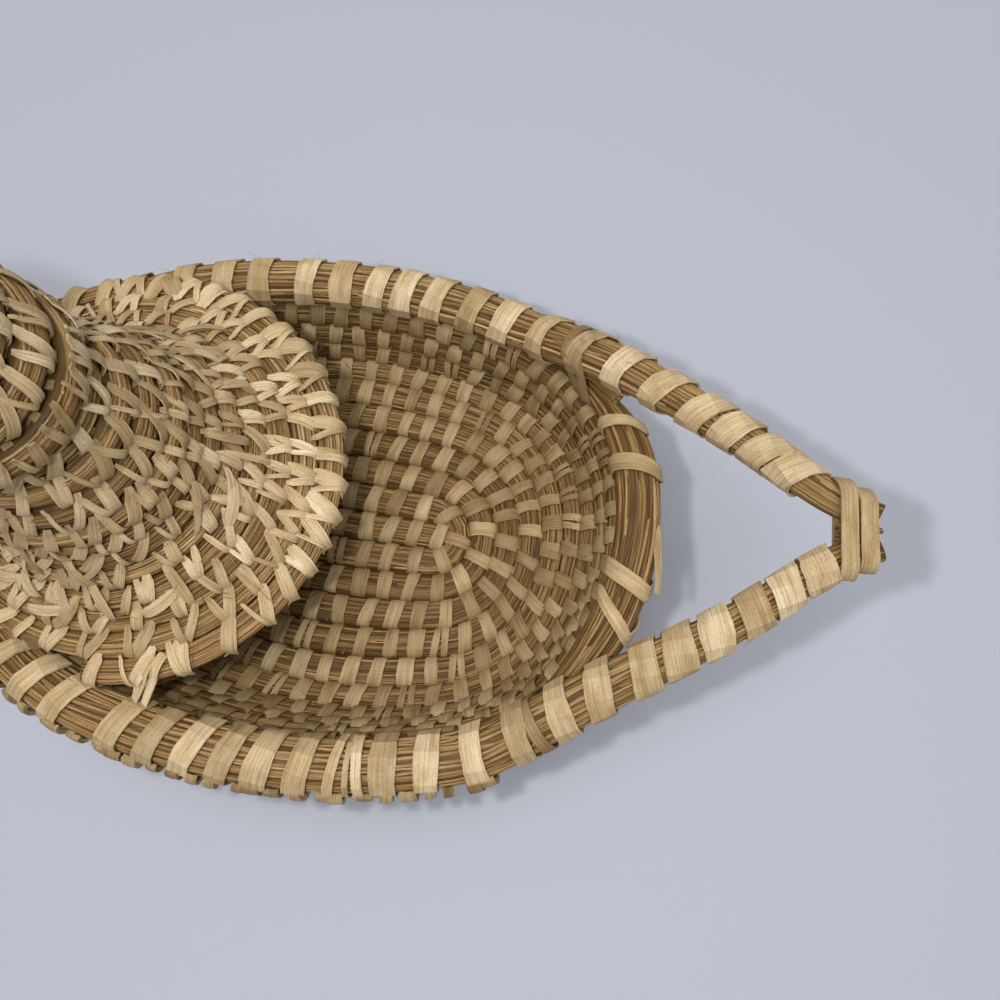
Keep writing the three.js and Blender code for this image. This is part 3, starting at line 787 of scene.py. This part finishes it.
bands = Strips(64, 2)
points, normals = tip_binding_path(64)
lay_strip(bands, points, normals, 3.6, 0.5)
bands.thicken(0.4)
make_piece("tip_binding", bands.built, palm, ("tail_tip_binding",), crease=0.9)

# ---------------------------------------------------------------- back rim

back_rim = back_rim_route()


def back_rim_envelope(along, angle):
    return back_rim_radius(along / back_rim.end) + 0.4 + 0 * angle


make_bundle(
    "back_rim", ("back_rim_coil",), back_rim, back_rim_envelope, lanes=42, width=1.0,
    reach=(60, 110), tones=(0.1, 0.9), ragged=3,
)
bands = Strips(24, 3)
# Where each wrap crosses the bundle's inner and outer edge, and its width.
BACK_WRAPS = ((38.6, 30.9, 3.0), (45.2, 41.3, 4.0), (72.0, 67.8, 4.2), (86.0, 79.0, 3.2))
BELOW = -1.6
for inner, outer, width in BACK_WRAPS:
    angle = np.linspace(BELOW, 2 * math.pi + BELOW, 25)
    along = np.interp(angle, (BELOW, 0.2, 2.3, 2 * math.pi + BELOW), (inner, inner, outer, inner))
    lay_band(
        bands, back_rim, along, angle, back_rim_envelope(along, angle) + 0.3, width,
        rng.uniform(*LIT_PALM),
    )
# The end of one wrap hangs out on the far side of the bundle.
along = np.linspace(56, 42, 25)
away = np.interp(along, (42, 48, 56), (3.0, 1.2, -1.0))
points = back_rim.surface(along, 2.3 + 0 * along, back_rim_envelope(along, 0) + away)
lay_strip(bands, points, np.tile([0.0, 0.3, 0.95], (25, 1)), np.linspace(3.0, 0.9, 25) ** 0.8, 0.3)


def lay_belt(strips, first, second, radii, tangent, width, tone):
    """A splint round two bundles that lie side by side, at the spots first and second."""
    ahead = unit(second - first - tangent * np.dot(second - first, tangent))
    across = np.cross(tangent, ahead)
    angle = np.linspace(math.pi, 3 * math.pi, strips.along + 1)[:, None]
    out = ahead * np.cos(angle) + across * np.sin(angle)
    at_second = np.cos(angle) > 0
    points = np.where(at_second, second, first) + out * np.where(at_second, radii[1], radii[0])
    lay_strip(strips, points, out, width, tone)


STRAND_PLACES = np.arange(0, strand.end, 0.5)
STRAND_SPOTS = np.stack(strand.spot(STRAND_PLACES)[:3], -1)


def strand_beside(place):
    """A spot of the back rim's middle, and how far along the strand its nearest spot is."""
    own = back_rim.middle(place)
    return own, STRAND_PLACES[np.argmin(np.linalg.norm(STRAND_SPOTS - own, axis=1))]


# Splints tie each end of the bundle to the strand above it, in the darker tones of painted shade.
for place in (6.0, 98.5, 102.5):
    own, nearest = strand_beside(place)
    other, ahead = strand.middle(nearest), strand.middle(nearest + 1)
    radii = (back_rim_radius(place / back_rim.end) + 0.9, strand_radius(nearest / strand.end) + 0.8)
    lay_belt(bands, own, other, radii, unit(ahead - other), 2.8, rng.uniform(*SHADED_PALM))
bands.thicken(0.35)
make_piece("back_rim_wraps", bands.built, palm, ("back_rim_wrap",), crease=0.9)

# ---------------------------------------------------------------- cover, neck and head

# Height of a limb of a stitch over its row, against the way across the row from outside to inside.
STITCH_WAY = (-3.7, -3.2, -2.4, -1.0, 0.0, 1.0, 2.4, 3.15, 4.2, 5.4)
STITCH_HEIGHT = (-0.3, 1.3, 2.7, 3.4, 3.5, 3.4, 2.9, 2.45, 2.7, 1.9)
CROWN_ROW = 3.1


def crown_envelope(along, angle):
    return CROWN_ROW * pressed(angle) + 0 * along


def lay_limb(strips, shell, turn, length, drift, width, lift, tone):
    """One limb of a split stitch, from its foot in the outer groove over the row to beyond the
    next groove. drift is how far along the row its end lies from its foot."""
    way = np.linspace(STITCH_WAY[0], rng.uniform(4.2, STITCH_WAY[-1]), strips.along + 1)
    share = (way - way[0]) / (way[-1] - way[0])
    centre, _ = shell(turn, length)
    ahead, _ = shell(turn + 0.001, length)
    per_turn = np.linalg.norm(ahead - centre) / 0.001
    points, normals = shell(turn + drift * share / per_turn, length + way)
    height = np.interp(way, STITCH_WAY, STITCH_HEIGHT) + lift
    points = points + normals * height[:, None] - BASKET_MIDDLE
    taper = np.interp(share, (0, 0.3, 0.8, 1), (0.85, 1, 0.9, 0.5))
    lay_strip(strips, points, normals, width * taper, tone, 0.06)


def crown_part(name, node, shell, rows, pitch, first, last, spacing):
    """A part wound of thin rows: straws, and split stitches that spread inwards from the outer
    groove. spacing tells how far apart the stitches stand at an angle round the part."""
    turns = np.linspace(first, last, int((last - first) * STEPS_PER_TURN))
    route = Route(*shell(turns, pitch * rows(turns)))
    make_bundle(
        name, (node,), route, crown_envelope, lanes=38, width=0.8, reach=(60, 110), touching=0.65,
    )
    bands = Strips(12, 2)
    under = Strips(8, 1)
    place = 2.0
    while place < route.end - 2:
        turn = float(np.interp(place, route.length, turns))
        length = pitch * float(rows(turn))
        edge = length < 0.5 * pitch
        tone = rng.uniform(*LIT_PALM)
        lift = rng.uniform(-0.05, 0.2)
        wide = rng.uniform(2.9, 4.6) if edge else rng.uniform(1.9, 3.3)
        lay_limb(bands, shell, turn, length, rng.uniform(2.0, 6.8), wide, lift, tone)
        if rng.random() < 0.88:
            lay_limb(
                bands, shell, turn, length, rng.uniform(-2.8, 1.3), rng.uniform(0.9, 2.2),
                lift + 0.15, tone + rng.uniform(-0.1, 0.1),
            )
        angle = np.linspace(1.5, 1.5 + math.pi, 9)
        lay_band(
            under, route, place + rng.normal(0, 0.4) + 0 * angle, angle,
            crown_envelope(place, angle) + 0.2, 0.8 * wide, 0.3,
        )
        place += spacing(2 * math.pi * turn) * rng.uniform(0.85, 1.15)
    bands.thicken(0.28)
    make_piece(name + "_stitches", bands.built, palm, crease=0.9)
    under.thicken(0.28)
    make_piece(name + "_under_stitches", under.built, palm, crease=0.9)


def cover_spacing(around):
    """Stitches stand further apart on the near side of the cover."""
    return 6.6 + 4.4 * math.exp(-((math.remainder(around, 2 * math.pi) + 1.3) / 0.6) ** 2)


def head_rows(turn):
    """The head's last turn is drawn in to close its crown."""
    rows = rows_at(NECK_TOP_TURN + turn) - rows_at(NECK_TOP_TURN)
    crown = (math.pi - HEAD_START) * HEAD_RADIUS / HEAD_PITCH
    return mix(rows, crown, smooth((turn - HEAD_TURNS + 0.3) / 1.1))


def even_spacing(around):
    return 6.2


crown_part(
    "cover", "cover_coil", cover_shell, rows_at, COVER_PITCH, LEVEL_START, COVER_TURNS,
    cover_spacing,
)
crown_part(
    "neck", "neck_coil", cover_shell, rows_at, COVER_PITCH, COVER_TURNS, NECK_TOP_TURN,
    even_spacing,
)
crown_part(
    "head", "head_coil", head_shell, head_rows, HEAD_PITCH, 0.0, HEAD_TURNS + 0.8, even_spacing,
)

# Loose strips lie over each other where the cover turns up into the neck, about this far round.
NECK_FOOT_ROUND = 2 * math.pi * 25
bands = Strips(12, 2)
for _ in range(46):
    turn, length = rng.uniform(-0.3, 0.75), rng.uniform(13, 33)
    heading = rng.uniform(-0.5, 1.2)
    share = np.linspace(-0.5, 0.5, 13)
    reach = rng.uniform(7, 14)
    points, normals = cover_shell(
        turn + reach * math.sin(heading) * share / NECK_FOOT_ROUND,
        length + reach * math.cos(heading) * share,
    )
    height = mix(2.2, rng.uniform(3.9, 4.3), np.sqrt(1 - (2 * share) ** 2))
    width = rng.uniform(1.4, 3.2) * np.interp(np.abs(share), (0, 0.3, 0.5), (1, 0.9, 0.4))
    lay_strip(
        bands, points + normals * height[:, None] - BASKET_MIDDLE, normals, width,
        rng.uniform(*LIT_PALM),
    )
bands.thicken(0.28)
make_piece("neck_foot_strips", bands.built, palm, crease=0.9)

# Splints cross over the crown of the head and close it.
bands = Strips(10, 2)
for i in range(6):
    around = i * math.pi / 6 + rng.normal(0, 0.06)
    half = rng.uniform(0.38, 0.46)
    angle = np.linspace(-half, half, 11)[:, None]
    over = np.sin(angle) * (math.cos(around), math.sin(around), 0) + np.cos(angle) * (0, 0, 1)
    height = np.interp(np.abs(angle) / half, (0, 0.7, 1), (0.5 + 0.1 * i, 0.4, -1.4))
    points = HEAD + over * (HEAD_RADIUS + CROWN_ROW + height) - BASKET_MIDDLE
    lay_strip(bands, points, over, rng.uniform(2.6, 3.4), rng.uniform(*LIT_PALM))
bands.thicken(0.3)
make_piece("crown_splints", bands.built, palm, crease=0.9)

# ---------------------------------------------------------------- bill

BILL_LENGTH, BILL_DROP, BILL_SEAT = 25.0, 3.0, 19.45
BILL_WIDTH, BILL_HEIGHT = (9.0, 6.5), (6.5, 2.6)
BILL_WRAP_START, BILL_WRAP_PITCH, BILL_WRAP_TURNS = 2.6, 5.5, 3


def bill_envelope(along, angle):
    """The flattened section of the bill, rounded off at its tip."""
    share = along / bill_route.end
    rounded = np.sqrt(np.maximum(0, 1 - np.maximum(0, (share - 0.7) / 0.3) ** 2))
    width = mix(*BILL_WIDTH, share) * mix(0.35, 1, rounded)
    height = mix(*BILL_HEIGHT, share) * mix(0.5, 1, rounded)
    return 1 / np.sqrt((np.cos(angle) / height) ** 2 + (np.sin(angle) / width) ** 2)


share = np.linspace(0, 1, 30)[:, None]
bill_root = HEAD - (BILL_SEAT, 0, 0)
bill_route = Route(
    bill_root - share * (BILL_LENGTH, 0, BILL_DROP), np.tile([0.0, 0.0, 1.0], (len(share), 1)),
)
make_bundle(
    "bill", ("bill",), bill_route, bill_envelope, lanes=50, width=1.1, reach=(40, 60), ragged=0.6,
)
bands = Strips(72, 3)
angle = np.linspace(0, 2 * math.pi * BILL_WRAP_TURNS, 73)
along = BILL_WRAP_START + BILL_WRAP_PITCH * angle / (2 * math.pi)
# The binding lies flat on the taper, and its ends are tucked under the turns beside them.
lift = np.interp(angle, (0, 0.8, angle[-1] - 0.8, angle[-1]), (-0.5, 0.35, 0.35, -0.7))
points, ahead = (
    bill_route.surface(along + step, angle, bill_envelope(along + step, angle) + lift)
    for step in (0, 1)
)
normals = unit(np.cross(np.gradient(points, axis=0), ahead - points))
lay_strip(bands, points, normals, 4.3, 0.6, 0.12)
bands.thicken(0.4)
make_piece("bill_wraps", bands.built, palm, ("bill_wrap",), crease=0.9)

# ---------------------------------------------------------------- lashings of the cover


def cover_edge(turn):
    """A spot of the middle of the cover's edge row."""
    return cover_shell(turn, COVER_PITCH * rows_at(turn))[0] - BASKET_MIDDLE


def lashing_path(turn, wrap_place):
    """From under the cover's edge row, over it, straight to the rim strand and on under a wrap."""
    edge = cover_edge(turn)
    angle = np.linspace(-1.05, 1.3, 12)
    radius = strand_envelope(wrap_place, angle) + 0.15
    slanted = wrap_place + wrap_slant(wrap_place) * radius * np.sin(angle)
    rim = strand.surface(slanted, angle, radius)
    straight = wrap_place + 0 * angle
    rim_normals = unit(
        strand.surface(straight, angle, radius + 1) - strand.surface(straight, angle, radius)
    )
    out = (rim[0] - edge) * (1, 1, 0)
    out = out / np.linalg.norm(out)
    around = np.linspace(2.2, 0.5, 8)[:, None]
    over = out * np.cos(around) + np.array([0, 0, 1]) * np.sin(around)
    points = np.vstack([edge + over * (CROWN_ROW + 0.75), rim])
    return points, unit(np.vstack([over, rim_normals]))


wraps = np.array(FAR_WRAPS + FRONT_WRAPS + NEAR_WRAPS)
wrap_spots = np.stack(strand.spot(wraps)[:3], -1)
# How many millimetres of the cover's edge make one turn, about.
EDGE_ROUND = 300
for name, turn in (("far", 0.25), ("near", -0.195), ("front", 0.5)):
    bands = Strips(19, 2)
    wrap_place = wraps[np.argmin(np.linalg.norm(wrap_spots - cover_edge(turn), axis=1))]
    for shift, width in ((-1.1, 2.7), (1.5, 2.2)):
        path = lashing_path(turn + shift / EDGE_ROUND, wrap_place + shift)
        lay_strip(bands, *path, width, rng.uniform(*LIT_PALM))
    bands.thicken(0.35)
    make_piece(
        "lashing_" + name, bands.built, palm, ("cover_lashing_" + name,), crease=0.9,
    )

# ---------------------------------------------------------------- loose ends

HAIR_STEPS, HAIR_SIDES = 12, 4
# How far the tip of a loose fibre, and of a straw that is packed in, bends off, to its length.
LIMP, STIFF = 0.25, 0.03


def lay_hair(strips, root, heading, length, thickness, tone, limp=LIMP):
    """A stray fibre or straw end that leaves its bundle at its root and bends off."""
    share = np.linspace(0, 1, HAIR_STEPS + 1)[:, None]
    bend = rng.normal(0, limp, 3) * length
    points = root + heading * length * share + bend * share ** 2
    along = unit(np.gradient(points, axis=0))
    side = unit(np.cross(along, (0.3, 0.2, 1.0)))
    up = np.cross(side, along)
    turn = (2 * math.pi * np.arange(HAIR_SIDES + 1) / HAIR_SIDES)[None, :, None]
    half = (thickness / 2 * (1 - 0.7 * share))[:, :, None]
    places = points[:, None] + half * (side[:, None] * np.cos(turn) + up[:, None] * np.sin(turn))
    strips.add(places, length * share, thickness * turn[0, :, 0], tone)


def strand_skin(place, angle):
    """A spot on the strand, and from there one millimetre outwards and one along."""
    radius = strand_envelope(place, angle)
    root = strand.surface(place, angle, radius)
    out = strand.surface(place, angle, radius + 1) - root
    return root, out, strand.surface(place + 1, angle, radius) - root


hairs = Strips(HAIR_STEPS, HAIR_SIDES)
for _ in range(50):
    # Fibres stand off the rim strand, most of them on its far side.
    place = mix(60, 200, rng.random()) if rng.random() < 0.7 else mix(360, 520, rng.random())
    root, out, ahead = strand_skin(place, rng.uniform(-1.2, 1.5))
    heading = unit(0.35 * out + rng.choice((-1, 1)) * ahead + rng.normal(0, 0.25, 3))
    lay_hair(hairs, root, heading, rng.uniform(2, 5.5), rng.uniform(0.1, 0.2), rng.uniform(0.6, 1))
for _ in range(70):
    # Fibres stand up between the stitches of the cover.
    turn, length = rng.uniform(-0.35, 0.15), rng.uniform(-2, 32)
    root, normal = cover_shell(turn, length)
    heading = unit(0.5 * normal + rng.normal(0, 0.7, 3))
    lay_hair(
        hairs, root + normal * 3.2 - BASKET_MIDDLE, heading, rng.uniform(2, 7),
        rng.uniform(0.14, 0.32), rng.uniform(0.4, 1),
    )
for _ in range(130):
    # Torn fibres in the bowl's grooves.
    turn = rng.uniform(1.5, 8.5)
    root, normal = bowl_at(np.array(turn), ROW_PITCH * (turn + 0.5))
    heading = unit(0.35 * normal + rng.normal(0, 0.6, 3))
    lay_hair(
        hairs, root + normal * 2.6 - BASKET_MIDDLE, heading, rng.uniform(2, 7),
        rng.uniform(0.14, 0.45), rng.uniform(0.3, 0.9),
    )
for _ in range(10):
    # A tuft of broken straws outside the far side of the strand.
    spot, angle = 203 + rng.uniform(-2, 2), 1.3
    root = strand.surface(spot, angle, strand_envelope(spot, angle) - 0.8)
    out = unit(strand.surface(spot, angle, strand_envelope(spot, angle) + 1) - root)
    ahead = unit(strand.surface(spot + 1, angle, strand_envelope(spot, angle)) - root)
    lay_hair(
        hairs, root, unit(0.25 * out - ahead + rng.normal(0, 0.08, 3)), 5.5 * rng.uniform(0.6, 1),
        rng.uniform(0.6, 1.1), rng.uniform(0.3, 0.8),
    )
for first, last in ((back_rim.end - 14, back_rim.end), (14.0, 0.0)):
    # Straws packed into the wedge between each end of the back rim and the strand.
    for _ in range(30):
        share = rng.uniform(0.24, 0.5)
        wedge = []
        for place in (first, last):
            own, nearest = strand_beside(place)
            wedge.append(mix(own, strand.middle(nearest), share))
        root, end = wedge
        lay_hair(
            hairs, root + rng.normal(0, 0.5, 3), unit(end - root), rng.uniform(17, 24),
            rng.uniform(0.9, 1.3), rng.uniform(0.1, 0.7), STIFF,
        )
wall_end = bowl_at(np.array(BOWL_TURNS), ROW_PITCH * BOWL_TURNS)[0] - BASKET_MIDDLE
for _ in range(26):
    # The back rim's first straws run in between those of the wall's last row.
    root = back_rim.surface(
        rng.uniform(2, 6), rng.uniform(0, 2 * math.pi), 1.9 * math.sqrt(rng.random()),
    )
    lay_hair(
        hairs, root, unit(wall_end + rng.normal(0, 1.1, 3) - root), rng.uniform(10, 14),
        rng.uniform(0.9, 1.3), rng.uniform(0.1, 0.7), STIFF,
    )
for _ in range(150):
    # Straws in the groove between the back rim and the wall's last row.
    place, angle = rng.uniform(1, back_rim.end - 12), rng.normal(-1.57, 0.22)
    root, end = (
        back_rim.surface(at, angle, back_rim_envelope(at, angle) + rng.uniform(-0.3, 0.9))
        for at in (place, place + 12)
    )
    lay_hair(
        hairs, root, unit(end - root), rng.uniform(12, 15), rng.uniform(0.8, 1.2),
        rng.uniform(0.05, 0.5), STIFF,
    )
for _ in range(60):
    # The straws at the two ends of the strand run into one another under the binding of the tip.
    share = rng.uniform(0.1, 0.9)
    root, end = (
        mix(strand.middle(at), strand.middle(strand.end - at), share) + rng.normal(0, 0.3, 3)
        + (0, 0, rng.uniform(-1.9, 1.9))
        for at in (8.5, 1.5)
    )
    lay_hair(
        hairs, root, unit(end - root), rng.uniform(6, 8), rng.uniform(0.8, 1.2),
        rng.uniform(0.1, 0.8), STIFF,
    )
hairs.close_tubes()
make_piece("loose_fibres", hairs.built, straw)
